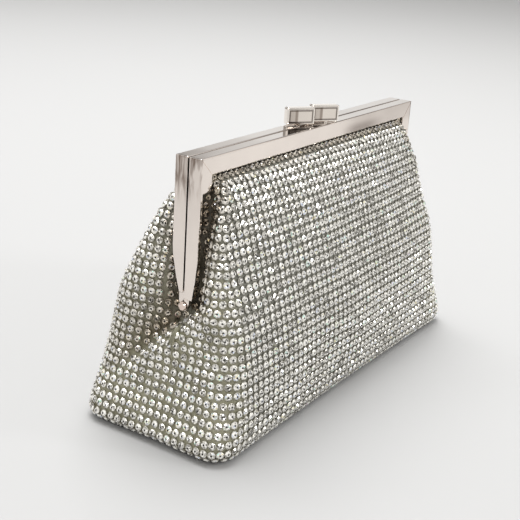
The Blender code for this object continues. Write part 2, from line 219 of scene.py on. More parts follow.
def half_outline(side, z, inset=0.0):
    """Dense plan outline of one side at a height, from the left arm or seam to the right one."""
    half, corner_y, radius, depth = level(LEVELS[side], z)
    channel_y = between(LINING_CHANNEL_Y if inset else MESH_CHANNEL_Y,
                        float(smooth((z - ARM_FLANGE_START) / CHANNEL_SHIFT)))
    open_groove = 1 - float(smooth((z - GROOVE_END) / GROOVE_FADE))
    upper_x = min(VALLEY_X, half + 0.8 - GROOVE_WIDTH * open_groove, flange_x(z) - FLANGE_CLEARANCE)
    upper_y = min(VALLEY_Y, corner_y - 1.0)
    seam_x, seam_y = level(SEAM, min(z, SEAM_TOP))
    if inset:
        half -= inset
        depth -= inset
        radius = max(1.2, radius - inset)
        upper_x -= 1.2 * inset + 0.6
        upper_y = min(corner_y - 0.4, upper_y + (2 * inset + 0.5) * open_groove - inset)
        seam_x -= inset * between((1.0, 1.5), float(smooth((z - 38) / 8)))
        seam_y += inset
    share = float(smooth((z - SEAM_TOP + SEAM_CHANGE) / SEAM_CHANGE))
    if inset:
        half = between((half, upper_x + 0.4 * (half - upper_x)), share)
    valley = between((seam_x, upper_x), share)
    valley_y = between((seam_y, upper_y), share)
    start_x = between((seam_x, CHANNEL_END_X - (0.3 if inset else 0.0)), share)
    start_y = between((SEAM_GAP, channel_y), share)
    rise = max(0.0, valley_y - 2.6 - channel_y) * open_groove * share * (0.1 if inset else 1.0)
    end_y = between((valley_y, channel_y + rise), share)
    points = []
    for step in range(START_STEPS):
        part = step / START_STEPS
        points.append((between((start_x, valley), part), between((start_y, end_y), part)))
    for step in range(CORNER_STEPS):
        angle = math.pi / 2 * step / CORNER_STEPS
        points.append((valley + (half - valley) * math.sin(angle),
                       corner_y - (corner_y - valley_y) * math.cos(angle)))
    centre_x = half - radius
    for step in range(ROUND_STEPS):
        angle = math.pi / 2 * step / ROUND_STEPS
        points.append((centre_x + radius * math.cos(angle), corner_y + radius * math.sin(angle)))
    for step in range(FACE_STEPS):
        x = centre_x * (1 - step / FACE_STEPS)
        bow = (1 - (x / centre_x) ** 2) ** 0.95
        points.append((x, corner_y + radius + (depth - corner_y - radius) * bow))
    left = [(-x, side * y) for x, y in points]
    right = [(x, side * y) for x, y in reversed(points)]
    outline = np.array(left + [(0.0, side * depth)] + right)
    weight = float(smooth((FRAME_TOP - RAIL_HEIGHT + 0.2 - 1.2 * inset - z) / 4.6))
    run = lengths_along(outline)
    spread = outline[-1, 0] * (2 * run / run[-1] - 1)
    flat = np.column_stack([spread, np.full(len(outline), side * channel_y)])
    return weight * outline + (1 - weight) * flat


def fold_distance(y, z):
    """Signed distance from the fold that runs from the hinge down to the rear corner."""
    return (y - 0.98 * (54.5 - z)) / 1.4


def undulation(points):
    """How far the cloth stands out of its mean shape, along its normal."""
    x, y, z = points[..., 0], points[..., 1], points[..., 2]
    fade = smooth(z / 14) * smooth((106 - z) / 16)
    wave = (0.55 * np.sin(x / 19 + 0.7) * np.sin(z / 17 + 0.4 + x / 60)
            + 0.30 * np.sin(x / 8.5 + z / 21) + 0.25 * np.sin(z / 9 - x / 33 + y / 12))
    away = fold_distance(y, z)
    on_side = (smooth((np.abs(x) - 84) / 6) * smooth((z - 14) / 26) * smooth((66 - z) / 14)
               * smooth((27 - y) / 12))
    dip = np.where(away > 0, np.exp(-(np.abs(away) / 8.0) ** 1.5), np.exp(-(away / 3.6) ** 2))
    lip = np.exp(-((away + 7.5) / 4.5) ** 2)
    return fade * wave * WAVE_HEIGHT + on_side * (FOLD_LIP * lip - FOLD_DEPTH * dip)


class Surface:
    """One side of the shell as a dense grid of points and outward normals."""

    def __init__(self, side, depth=0.0, inset=0.0, low=0.0, high=116.0, step=0.75):
        self.side = side
        self.heights = np.arange(low, high + 0.01, step)
        grid = np.array([
            np.column_stack([outline, np.full(len(outline), z)])
            for z in self.heights
            for outline in [half_outline(side, z, inset)]
        ])
        normals = self.normals_of(grid)
        grid = grid + normals * undulation(grid)[..., None]
        normals = self.normals_of(grid)
        self.grid = grid - normals * depth if depth else grid
        self.normals = normals

    def normals_of(self, grid):
        """Outward normals, turned level with the seam close to it so that the two sides meet."""
        normals = np.cross(np.gradient(grid, axis=1), np.gradient(grid, axis=0))
        length = np.linalg.norm(normals, axis=2, keepdims=True)
        normals = normals / np.maximum(length, 1e-9)
        at_seam = (1 - smooth(np.abs(grid[..., 1]) / 2.5)) * smooth((57 - grid[..., 2]) / 3)
        normals[..., 1] *= 1 - at_seam
        normals /= np.maximum(np.linalg.norm(normals, axis=2, keepdims=True), 1e-9)
        middle = normals[len(grid) // 2, grid.shape[1] // 2]
        return normals if middle[1] * self.side > 0 else -normals

    def row(self, z):
        """Points and normals at a height between two grid rows."""
        place = np.clip((z - self.heights[0]) / (self.heights[1] - self.heights[0]),
                        0, len(self.heights) - 1.001)
        index = int(place)
        share = place - index
        points = self.grid[index] * (1 - share) + self.grid[index + 1] * share
        normals = self.normals[index] * (1 - share) + self.normals[index + 1] * share
        return points, normals / np.linalg.norm(normals, axis=1, keepdims=True)


def to_world(points):
    moved = np.array(points, float)
    moved[..., 1] += FRAME_Y
    return moved * MM


# ---------------------------------------------------------------- materials

METAL_TONE = (0.93, 0.845, 0.78)
BAR_TONE = (0.95, 0.87, 0.79)
RIVET_TONE = (0.86, 0.72, 0.64)
STEEL_TONE = (0.55, 0.53, 0.50)
# painted reflections on the frame: dark at the top of the arms' outer faces, darker on the rail's
# face and top
ARM_REFLECTION_TONE = (0.26, 0.20, 0.165)
RAIL_REFLECTION_TONE = (0.42, 0.36, 0.32)
RAIL_DEEP_REFLECTION_TONE = (0.30, 0.25, 0.22)
RAIL_TOP_REFLECTION_TONE = (0.50, 0.465, 0.44)
# painted light on a clasp bar: shade at its left, a dark reflection in its edges, a highlight on
# its rim
BAR_PAINTED_SHADE_TONE = (0.24, 0.18, 0.14)
BAR_EDGE_REFLECTION_TONE = (0.10, 0.075, 0.06)
BAR_RIM_HIGHLIGHT_TONE = (0.90, 0.84, 0.78)
CUP_TONES = (0.50, 0.48, 0.43), (0.78, 0.76, 0.70)
BACKING_TONES = (0.26, 0.25, 0.175), (0.40, 0.385, 0.28)
BACKING_FACE_TONE = (0.205, 0.202, 0.172)
SATIN_TONES = (0.46, 0.45, 0.44), (0.60, 0.59, 0.57)
BOARD_TONES = (0.26, 0.23, 0.19), (0.36, 0.32, 0.27)
# what full shade and half shade leave of the colour of a stone, and of the cloth under it
STONE_SHADES = (0.23, 0.17, 0.12), (0.52, 0.46, 0.39)
CLOTH_SHADES = (0.07, 0.05, 0.036), (0.38, 0.33, 0.28)
# painted reflection and sparkle of a facet by its drawn number: dark, silver, and a few painted
# rainbow sparks
CRYSTAL_SPARKLE_TINTS = [
    (0.0, (0.02, 0.02, 0.02)),
    (0.13, (0.10, 0.10, 0.09)),
    (0.26, (0.22, 0.21, 0.19)),
    (0.37, (0.50, 0.49, 0.45)),
    (0.50, (1.0, 0.98, 0.94)),
    (0.80, (1.0, 0.98, 0.91)),
    (0.85, (0.70, 0.78, 1.0)),
    (0.89, (0.98, 0.86, 0.50)),
    (0.93, (0.60, 0.95, 0.84)),
    (1.0, (0.98, 0.70, 0.84)),
]
NOISE_RANGE = (0.3, 0.7)
# where each painted mask starts and where it is full, in metres
# the painted dark reflection at the top of the arms' outer faces
ARM_REFLECTION_HEIGHTS = (0.097, 0.113)
ARM_REFLECTION_OUTSIDE = (0.0885, 0.0893)
# the painted darker reflection on the rail's face, and the part where it is deepest
RAIL_REFLECTION_X = (0.014, 0.034)
RAIL_REFLECTION_HEIGHTS = (0.108, 0.112)
RAIL_DEEP_REFLECTION_END = (0.064, 0.040)
RAIL_DEEP_REFLECTION_HEIGHTS = (0.1166, 0.1128)
BACKING_FACE_X = (0.093, 0.080)


def new_material(name):
    material = bpy.data.materials.new(name)
    material.use_nodes = True
    tree = material.node_tree
    return material, tree, tree.nodes["Principled BSDF"]


def node(tree, kind, **inputs):
    """A new node; an input's name is written with underscores for its spaces."""
    made = tree.nodes.new(kind)
    for key, value in inputs.items():
        made.inputs[key.replace("_", " ")].default_value = value
    return made


def feed(tree, socket, value):
    """Links a socket to another one, or sets it when the value is a plain one."""
    if isinstance(value, bpy.types.NodeSocket):
        tree.links.new(value, socket)
    else:
        socket.default_value = value


def calculate(tree, operation, *values):
    made = tree.nodes.new("ShaderNodeMath")
    made.operation = operation
    for socket, value in zip(made.inputs, values):
        feed(tree, socket, value)
    return made.outputs["Value"]


def ramp(tree, source, stops):
    made = tree.nodes.new("ShaderNodeValToRGB")
    elements = made.color_ramp.elements
    while len(elements) < len(stops):
        elements.new(0.5)
    for element, (place, colour) in zip(elements, stops):
        element.position = place
        element.color = (*colour, 1.0)
    tree.links.new(source, made.inputs["Fac"])
    return made.outputs["Color"]


def amounts(*stops):
    """Ramp stops of plain grey, which serve as an amount."""
    return [(place, (value,) * 3) for place, value in stops]


def mix(tree, amount, colour, other, blend="MIX"):
    """The colour turned by an amount to the other one. Each is a socket or a plain value."""
    made = tree.nodes.new("ShaderNodeMix")
    made.data_type = "RGBA"
    made.blend_type = blend
    colours = [socket for socket in made.inputs if socket.type == "RGBA"]
    feed(tree, made.inputs["Factor"], amount)
    feed(tree, colours[0], colour)
    feed(tree, colours[1], (*other, 1.0) if isinstance(other, tuple) else other)
    return next(socket for socket in made.outputs if socket.type == "RGBA")


def noise(tree, vector, scale, detail, distortion=0.0):
    made = node(tree, "ShaderNodeTexNoise", Scale=scale, Detail=detail, Distortion=distortion)
    if vector is not None:
        tree.links.new(vector, made.inputs["Vector"])
    return made.outputs["Fac"]


def stretched(tree, vector, scale):
    made = node(tree, "ShaderNodeMapping", Scale=scale)
    tree.links.new(vector, made.inputs["Vector"])
    return made.outputs["Vector"]


def mottled(tree, vector, scale, detail, tones):
    """A slow change between two tones."""
    return ramp(tree, noise(tree, vector, scale, detail), list(zip(NOISE_RANGE, tones)))


def map_range(tree, source, low, high, start=0.0, end=1.0, kind="LINEAR"):
    made = node(tree, "ShaderNodeMapRange", From_Min=low, From_Max=high, To_Min=start, To_Max=end)
    made.interpolation_type = kind
    tree.links.new(source, made.inputs["Value"])
    return made.outputs["Result"]


def rise_along(tree, vector, axis, low, high):
    """0 at one place along an axis and 1 at the other. A lower case axis counts to both sides."""
    parts = tree.nodes.new("ShaderNodeSeparateXYZ")
    tree.links.new(vector, parts.inputs["Vector"])
    distance = parts.outputs[axis.upper()]
    if axis.islower():
        distance = calculate(tree, "ABSOLUTE", distance)
    return map_range(tree, distance, low, high, kind="SMOOTHSTEP")


def bump(tree, height, strength, distance, under=None):
    made = node(tree, "ShaderNodeBump", Strength=strength, Distance=distance)
    tree.links.new(height, made.inputs["Height"])
    if under is not None:
        tree.links.new(under, made.inputs["Normal"])
    return made.outputs["Normal"]


def polished_metal(name, tone, roughness, dress=None):
    """Plated metal, faintly marked by polishing and mottled in tint; dress adds painted light to
    its colour.
    """
    material, tree, shader = new_material(name)
    vector = tree.nodes.new("ShaderNodeTexCoord").outputs["Object"]
    colour = mottled(tree, vector, 28.0, 3.0, (tuple(c * 0.88 for c in tone), tone))
    if dress:
        colour = dress(tree, vector, colour)
    tree.links.new(colour, shader.inputs["Base Color"])
    shader.inputs["Metallic"].default_value = 1.0
    marks = noise(tree, stretched(tree, vector, (0.15, 1.0, 1.0)), 900.0, 4.0)
    rough = map_range(tree, marks, 0.0, 1.0, roughness * 0.7, roughness * 1.5)
    tree.links.new(rough, shader.inputs["Roughness"])
    wave = bump(tree, noise(tree, vector, 34.0, 1.0), 0.35, 1.0 * MM)
    tree.links.new(bump(tree, marks, 0.02, 0.2 * MM, wave), shader.inputs["Normal"])
    return material


def paint_frame_reflections(tree, vector, colour):
    """Painted reflections: long dark marks at the arms' tops, a darker patch on the rail's face, a
    darker top.
    """
    # painted dark reflection, in long marks at the top of the arms' outer faces
    arm_reflection_cloud = noise(tree, stretched(tree, vector, (1.0, 1.0, 0.16)), 520.0, 2.0, 0.6)
    arm_reflection_cloud = ramp(tree, arm_reflection_cloud, amounts((0.38, 0.0), (0.60, 1.0)))
    arm_top = rise_along(tree, vector, "Z", *ARM_REFLECTION_HEIGHTS)
    outside = rise_along(tree, vector, "x", *ARM_REFLECTION_OUTSIDE)
    arm_reflection = calculate(tree, "MULTIPLY", calculate(tree, "MULTIPLY", arm_top, outside), arm_reflection_cloud)
    colour = mix(tree, arm_reflection, colour, ARM_REFLECTION_TONE)

    # painted darker reflection in a patch on the rail's face, deeper in one part of it
    cloud = ramp(tree, noise(tree, vector, 30.0, 1.0), amounts((0.30, 0.15), (0.62, 0.50)))
    right = rise_along(tree, vector, "X", *RAIL_REFLECTION_X)
    on_rail = rise_along(tree, vector, "Z", *RAIL_REFLECTION_HEIGHTS)
    wide = calculate(tree, "MULTIPLY", calculate(tree, "MULTIPLY", right, on_rail), cloud)
    colour = mix(tree, wide, colour, RAIL_REFLECTION_TONE)

    middle = calculate(tree, "MULTIPLY", right, rise_along(tree, vector, "X", *RAIL_DEEP_REFLECTION_END))
    low = calculate(tree, "MULTIPLY", on_rail, rise_along(tree, vector, "Z", *RAIL_DEEP_REFLECTION_HEIGHTS))
    deep = calculate(tree, "MULTIPLY", middle, low)
    deep = ramp(tree, deep, amounts((0.0, 0.0), (1.0, 0.72)))
    colour = mix(tree, deep, colour, RAIL_DEEP_REFLECTION_TONE)

    # painted darker reflection on the rail's top face
    top = rise_along(tree, vector, "Z", (FRAME_TOP - 0.4) * MM, (FRAME_TOP - 0.1) * MM)
    top = ramp(tree, top, amounts((0.0, 0.0), (1.0, 0.75)))
    return mix(tree, top, colour, RAIL_TOP_REFLECTION_TONE)


def paint_bar_light(word):
    """Painted light on a clasp bar: shade at its left, a dark reflection in its edges, a pale
    highlight rim.
    """
    low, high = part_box(word + "_clasp_bar")
    # the stem reaches below the bar, so the bar's middle height is taken from its top
    centre = ((low.x + high.x) / 2, (low.y + high.y) / 2, high.z - BAR_HEIGHT * MM / 2)

    def dress(tree, vector, colour):
        mapping = node(tree, "ShaderNodeMapping", Location=centre,
                       Rotation=(0, 0, math.radians(BAR_ANGLE)))
        mapping.vector_type = "TEXTURE"
        tree.links.new(vector, mapping.inputs["Vector"])
        parts = tree.nodes.new("ShaderNodeSeparateXYZ")
        tree.links.new(mapping.outputs["Vector"], parts.inputs["Vector"])
        # painted shade, dark brown, over the left part of the bar's face
        left_shade = map_range(tree, parts.outputs["X"], (1.0 - BAR_LENGTH / 2) * MM,
                           (5.4 - BAR_LENGTH / 2) * MM, 1.0, 0.0)
        left_shade = ramp(tree, left_shade, amounts((0.0, 0.0), (0.08, 0.62), (0.25, 0.80), (0.42, 0.34),
                                            (1.0, 0.42)))
        colour = mix(tree, left_shade, colour, BAR_PAINTED_SHADE_TONE)
        to_edge = [
            map_range(tree, calculate(tree, "ABSOLUTE", parts.outputs[axis]),
                      (half - 2.1) * MM, (half - 0.5) * MM)
            for axis, half in (("X", BAR_LENGTH / 2), ("Z", BAR_HEIGHT / 2))
        ]
        edge = calculate(tree, "MAXIMUM", *to_edge)
        # painted dark reflection in a line just inside the bar's edges
        line = ramp(tree, edge, amounts((0.20, 0.0), (0.40, 0.80), (0.66, 0.80), (0.74, 0.0)))
        colour = mix(tree, line, colour, BAR_EDGE_REFLECTION_TONE)
        # painted highlight on the bar's rim
        rim = ramp(tree, edge, amounts((0.70, 0.0), (0.78, 1.0)))
        return mix(tree, rim, colour, BAR_RIM_HIGHLIGHT_TONE)

    return dress


def in_shade(tree, colour, shades):
    """The colour, turned dark brown where it lies deep in a groove or in the fold."""
    shade = node(tree, "ShaderNodeAttribute")
    shade.attribute_name = "stone_shade"
    left = ramp(tree, shade.outputs["Fac"],
                [(0.0, shades[0]), (0.5, shades[1]), (1.0, (1.0, 1.0, 1.0))])
    return mix(tree, 1.0, colour, left, "MULTIPLY")


def crystal_material():
    """Cut crystal over foil, with painted reflections: its tint changes from stone to stone and
    facet to facet.
    """
    material, tree, shader = new_material("cut_crystal")
    tone = node(tree, "ShaderNodeAttribute")
    tone.attribute_name = "stone_tone_and_sparkle"
    # painted reflections and sparks of the facets
    tint = ramp(tree, tone.outputs["Fac"], CRYSTAL_SPARKLE_TINTS)
    tree.links.new(in_shade(tree, tint, STONE_SHADES), shader.inputs["Base Color"])
    shader.inputs["Metallic"].default_value = 0.85
    rough = map_range(tree, noise(tree, None, 700.0, 2.0), 0.0, 1.0, 0.04, 0.16)
    tree.links.new(rough, shader.inputs["Roughness"])
    shader.inputs["Specular IOR Level"].default_value = 0.8
    return material


def cup_material():
    """The plated cup that each stone sits in."""
    material, tree, shader = new_material("stone_cup")
    vector = tree.nodes.new("ShaderNodeTexCoord").outputs["Object"]
    colour = mottled(tree, vector, 260.0, 2.0, CUP_TONES)
    tree.links.new(in_shade(tree, colour, STONE_SHADES), shader.inputs["Base Color"])
    shader.inputs["Metallic"].default_value = 0.9
    shader.inputs["Roughness"].default_value = 0.32
    return material


def dress_backing(tree, vector, colour):
    """Darker on the broad faces than at the ends, and with painted shade, brown, in the grooves and
    the fold.
    """
    on_face = rise_along(tree, vector, "x", *BACKING_FACE_X)
    return in_shade(tree, mix(tree, on_face, colour, BACKING_FACE_TONE), CLOTH_SHADES)


def weave_material(name, tones, scale, roughness, sheen=0.0, metallic=0.0, dress=None):
    """Woven cloth: two crossing thread waves in its bump, and a slow change of colour."""
    material, tree, shader = new_material(name)
    vector = tree.nodes.new("ShaderNodeTexCoord").outputs["Object"]
    colour = mottled(tree, vector, 90.0, 4.0, tones)
    if dress:
        colour = dress(tree, vector, colour)
    tree.links.new(colour, shader.inputs["Base Color"])
    shader.inputs["Roughness"].default_value = roughness
    shader.inputs["Metallic"].default_value = metallic
    shader.inputs["Sheen Weight"].default_value = sheen
    threads = []
    for direction in ("X", "Z"):
        wave = node(tree, "ShaderNodeTexWave", Scale=scale)
        wave.bands_direction = direction
        tree.links.new(vector, wave.inputs["Vector"])
        threads.append(wave.outputs["Fac"])
    weave = bump(tree, calculate(tree, "ADD", *threads), 0.25, 0.2 * MM)
    tree.links.new(weave, shader.inputs["Normal"])
    return material


METAL = polished_metal("frame_plating", METAL_TONE, 0.07, paint_frame_reflections)
FRONT_BAR_METAL = polished_metal("front_bar_plating", BAR_TONE, 0.10, paint_bar_light("front"))
REAR_BAR_METAL = polished_metal("rear_bar_plating", BAR_TONE, 0.10, paint_bar_light("rear"))
RIVET_METAL = polished_metal("rivet_plating", RIVET_TONE, 0.12)
STRIP_METAL = polished_metal("strip_steel", STEEL_TONE, 0.35)
CRYSTAL = crystal_material()
CUP = cup_material()
BACKING = weave_material("mesh_backing", BACKING_TONES, 500.0, 0.5, metallic=0.4,
                         dress=dress_backing)
SATIN = weave_material("lining_satin", SATIN_TONES, 900.0, 0.38, sheen=0.3)
BOARD = weave_material("fibre_board", BOARD_TONES, 300.0, 0.85)

for name, material in (
    ("front_frame", METAL), ("rear_frame", METAL),
    ("front_clasp_bar", FRONT_BAR_METAL), ("rear_clasp_bar", REAR_BAR_METAL),
    ("left_hinge_rivet", RIVET_METAL), ("right_hinge_rivet", RIVET_METAL),
    ("front_retaining_strip", STRIP_METAL), ("rear_retaining_strip", STRIP_METAL),
    ("base_board", BOARD),
):
    for slot in frame["nodes"][name].material_slots:
        slot.material = material

# ---------------------------------------------------------------- cloth sheets


def mesh_object(name, points, faces, material):
    mesh = bpy.data.meshes.new(name)
    mesh.from_pydata([tuple(point) for point in points], [], faces)
    mesh.materials.append(material)
    obj = bpy.data.objects.new(name, mesh)
    bpy.context.scene.collection.objects.link(obj)
    return obj


def write_attribute(obj, name, domain, values):
    attribute = obj.data.attributes.new(name, "FLOAT", domain)
    attribute.data.foreach_set("value", values.astype(np.float32))


def shade_at(points):
    """1 in the open, and less in the grooves beside the arms, in the fold and under the rails."""
    x, y, z = np.abs(points[:, 0]), points[:, 1], points[:, 2]
    groove = np.exp(-np.maximum(0, np.abs(y) - 4.5) / 4.5) * smooth((x - 73) / 5)
    groove = groove * smooth((z - 52) / 8) * smooth((112 - z) / 8)
    away = fold_distance(y, z)
    fold = np.where(away > 0, np.exp(-np.abs(away) / 9.0), np.exp(-(away / 2.0) ** 2))
    fold = fold * smooth((z - 16) / 34) * smooth((62 - z) / 6) * smooth((x - 82) / 6)
    under_rail = smooth((z - 107.0) / 4) * 0.45
    return np.clip(1 - 0.80 * groove - 0.60 * fold - under_rail, 0.04, 1)


def sheet_from(surface, name, material, thickness, span):
    """A sheet through the surface between two heights, thickened inwards; flat size and area."""
    picks = np.linspace(0, surface.grid.shape[1] - 1, SHEET_COLUMNS).round().astype(int)
    points = np.array([surface.row(z)[0][picks] for z in np.linspace(*span, SHEET_ROWS)])
    faces = []
    for row in range(SHEET_ROWS - 1):
        for column in range(SHEET_COLUMNS - 1):
            first = row * SHEET_COLUMNS + column
            quad = (first, first + 1, first + SHEET_COLUMNS + 1, first + SHEET_COLUMNS)
            faces.append(quad if surface.side < 0 else quad[::-1])
    obj = mesh_object(name, to_world(points).reshape(-1, 3), faces, material)
    obj.data.shade_smooth()
    solid = obj.modifiers.new("sheet", "SOLIDIFY")
    solid.thickness = thickness * MM
    solid.offset = -1.0
    with bpy.context.temp_override(object=obj, active_object=obj, selected_objects=[obj]):
        bpy.ops.object.modifier_apply(modifier=solid.name)
    own = np.array([vertex.co for vertex in obj.data.vertices]) / MM - np.array((0, FRAME_Y, 0))
    write_attribute(obj, "stone_shade", "POINT", shade_at(own))
    across, up = np.diff(points, axis=1), np.diff(points, axis=0)
    widest = np.linalg.norm(across, axis=2).sum(axis=1).max()
    tallest = np.linalg.norm(up, axis=2).sum(axis=0).max()
    area = np.linalg.norm(np.cross(across[:-1], up[:, :-1]), axis=2).sum() * MM * MM
    return obj, (float(widest * MM), float(tallest * MM)), float(area)


# ---------------------------------------------------------------- stones

SIDES = 8
# radius and height of each ring of a stone in its cup, from the backing to the middle of the table
RINGS = ((1.46, -1.35), (1.7, -0.66), (1.50, -0.50), (0.92, 0.0), (0.44, -0.10), (0.0, -0.42))
CROWN_RING = 2                     # the stone starts at this ring, and its cup ends there
CROWN_KIND, CUP_KIND, HEART_KIND = range(3)
NORMAL_SPREAD = 0.045
SIZE_SPREAD = 0.012
FLOOR_GAP = 0.03                   # no stone reaches lower than this


def stone_template():
    """Points, faces and the kind of each face: cup, crown facet, or the heart with its painted dark
    reflection.
    """
    points = []
    for index, (radius, height) in enumerate(RINGS[:-1]):
        for k in range(SIDES):
            angle = math.tau * (k + (0.5 if index > CROWN_RING else 0.0)) / SIDES
            points.append((radius * math.cos(angle), radius * math.sin(angle), height))
    points.append((0.0, 0.0, RINGS[-1][1]))
    faces, kinds = [], []
    for ring in range(len(RINGS) - 2):
        for k in range(SIDES):
            a = ring * SIDES + k
            b = ring * SIDES + (k + 1) % SIDES
            if ring == CROWN_RING:
                faces += [(a, b, a + SIDES), (b, b + SIDES, a + SIDES)]
                kinds += [CROWN_KIND, CROWN_KIND]
            else:
                faces.append((a, b, b + SIDES, a + SIDES))
                kinds.append(CUP_KIND if ring < CROWN_RING else CROWN_KIND)
    top = (len(RINGS) - 2) * SIDES
    for k in range(SIDES):
        faces.append((top + k, top + (k + 1) % SIDES, len(points) - 1))
        kinds.append(HEART_KIND)
    return np.array(points), faces, np.array(kinds, np.int32)


TEMPLATE, TEMPLATE_FACES, TEMPLATE_KINDS = stone_template()


def stones_object(name, places, seed, tallness=1.0):
    """One mesh with a stone in its cup at each (point, normal, row direction), in millimetres."""
    draw = np.random.default_rng(seed)
    count = len(places)
    points, normals, ahead = (np.array(column) for column in zip(*places))
    normals = normals + draw.normal(0, NORMAL_SPREAD, normals.shape)
    normals /= np.linalg.norm(normals, axis=1, keepdims=True)
    ahead -= normals * (ahead * normals).sum(axis=1, keepdims=True)
    ahead /= np.linalg.norm(ahead, axis=1, keepdims=True)
    across = np.cross(normals, ahead)
    turn = draw.uniform(0, math.tau, count)[:, None]
    first = ahead * np.cos(turn) + across * np.sin(turn)
    second = np.cross(normals, first)
    size = draw.normal(1.0, SIZE_SPREAD, count)[:, None, None]
    local = (TEMPLATE * np.array((1.0, 1.0, tallness)))[None] * size
    verts = (points[:, None] + local[..., :1] * first[:, None] + local[..., 1:2] * second[:, None]
             + local[..., 2:] * normals[:, None])
    verts[..., 2] = np.maximum(verts[..., 2], FLOOR_GAP)
    faces = [tuple(index * len(TEMPLATE) + corner for corner in face)
             for index in range(count) for face in TEMPLATE_FACES]
    obj = mesh_object(name, to_world(verts).reshape(-1, 3), faces, CRYSTAL)
    obj.data.materials.append(CUP)
    kinds = np.tile(TEMPLATE_KINDS, count)
    obj.data.polygons.foreach_set("material_index", (kinds == CUP_KIND).astype(np.int32))
    # a tone for each stone, and a painted reflection or spark for each facet; the heart gets a
    # painted dark reflection
    stone = np.repeat(draw.uniform(0, 1, count), len(TEMPLATE_FACES))
    facet = draw.uniform(0, 1, len(stone))
    tone = np.where(kinds == HEART_KIND, 0.12 * facet, 0.14 + 0.34 * stone + 0.52 * facet)
    write_attribute(obj, "stone_tone_and_sparkle", "FACE", tone)
    write_attribute(obj, "stone_shade", "FACE", np.repeat(shade_at(points), len(TEMPLATE_FACES)))
    obj.data.update()
    return obj


def stone_rows(surface, low, high):
    """Heights of the stone rows, evenly spaced along the cloth at mid-length."""
    run = lengths_along(surface.grid[:, surface.grid.shape[1] // 2])
    start, stop = np.interp((low, high), surface.heights, run)
    count = round((stop - start) / STONE_PITCH) + 1
    return np.interp(np.linspace(start, stop, count), run, surface.heights)


def stations(corner, end):
    """Distances of the stones along half a row: a steady pitch first, then shared out evenly."""
    face = np.arange(STONE_PITCH / 2, corner, STONE_PITCH)
    count = max(1, round((end - face[-1]) / STONE_PITCH))
    return np.concatenate([face, face[-1] + (end - face[-1]) * np.arange(1, count + 1) / count])


def groove_stones(backing, z, way):
    """Stones on the backing down in the groove beside an arm, from its crest to under the arm."""
    points, _ = backing.row(z)
    line = points[len(points) // 2::way]
    run = lengths_along(line)
    entry = len(line) - START_STEPS
    start = run[entry - GROOVE_CREST_STEPS]
    reach = min(flange_x(z) - FLANGE_CLEARANCE, VALLEY_X)
    stop = np.interp(reach, np.abs(line[entry:, 0]), run[entry:])
    count = max(1, int((stop - start) / STRIP_PITCH))
    turn = 1.0 if (way < 0) == (backing.side < 0) else -1.0
    places = []
    for length in start + (stop - start) * np.arange(1, count + 1) / count:
        before, at, after = (point_at(length + shift, run, line) for shift in (-1.2, 0.0, 1.2))
        ahead = after - before
        look = np.array((-ahead[1], ahead[0], 0.0)) * turn
        look /= np.linalg.norm(look)
        places.append((at + look * BACKING_DEPTH, look, ahead * way))
    return places


def place_stones(surface, backing, heights):
    """Stone places: each row starts at mid-length and runs round both corners to the sides."""
    places = []
    middle = surface.grid.shape[1] // 2
    for z in heights:
        points, normals = surface.row(z)
        for way in (-1, 1):
            line, facing = points[middle::way], normals[middle::way]
            run = lengths_along(line)
            if z < SPLIT_Z + 1:
                end = run[-1] - STONE_PITCH / 2
            else:
                end = run[len(line) - START_STEPS - GROOVE_CREST_STEPS]
                places += groove_stones(backing, z, way)
            for length in stations(run[STEADY_STEPS], end):
                at = point_at(length, run, line)
                look = point_at(length, run, facing)
                look /= np.linalg.norm(look)
                places.append((at, look, (at - point_at(length - 0.5, run, line)) * way))
    return places


# ---------------------------------------------------------------- the two sides

THIRD_X = 34.0
STONE_SEED = 20


def hang(piece):
    """Bakes the piece's placement into its mesh."""
    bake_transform(piece)


def make_side(side, word, outer, rows):
    """One side of the bag: the backing with its stones, and the lining."""
    inner = Surface(side, BACKING_DEPTH)
    backing, cut, area = sheet_from(inner, word + "_mesh_backing", BACKING, BACKING_THICKNESS,
                                    BACKING_HEIGHTS)
    hang(backing)
    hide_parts(word + "_upper_mesh", word + "_lower_mesh")

    places = place_stones(outer, inner, rows)
    thirds = np.digitize([at[0] for at, _, _ in places], (-THIRD_X, THIRD_X))
    for index, part in enumerate(("left", "middle", "right")):
        group = [place for place, third in zip(places, thirds) if third == index]
        piece = stones_object(f"{word}_stones_{part}", group, STONE_SEED + 10 * side + index)
        hang(piece)
    print("stones", word, len(places))

    lining, cut, area = sheet_from(Surface(side, inset=LINING_INSET), word + "_lining", SATIN,
                                   LINING_THICKNESS, LINING_HEIGHTS)
    hang(lining)
    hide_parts(word + "_upper_lining")


front_surface, rear_surface = Surface(-1), Surface(1)
row_heights = stone_rows(front_surface, low=1.6, high=FRAME_TOP - RAIL_HEIGHT - 1.3)
make_side(-1, "front", front_surface, row_heights)
make_side(1, "rear", rear_surface, row_heights)

# ---------------------------------------------------------------- base

BASE_STONE_INSET = 3.2
BASE_STONE_Z = 0.06
BASE_STONE_TALLNESS = 0.62
BASE_SEED = 77


def base_outline(inset):
    """The plan outline of the bag's foot, drawn in by a distance."""
    front = half_outline(-1, 0.0)
    rear = half_outline(1, 0.0)
    ring = np.vstack([front, rear[::-1]])
    centre = ring.mean(axis=0)
    half = np.abs(ring - centre).max(axis=0)
    return centre + (ring - centre) * (1 - inset / half)


def inside(x, y, ring):
    """Whether a point lies inside a ring: an odd number of edges pass to its right."""
    a, b = ring, np.roll(ring, -1, axis=0)
    crosses = (a[:, 1] > y) != (b[:, 1] > y)
    with np.errstate(divide="ignore", invalid="ignore"):
        at = a[:, 0] + (y - a[:, 1]) * (b[:, 0] - a[:, 0]) / (b[:, 1] - a[:, 1])
    return bool((crosses & (x < at)).sum() % 2)


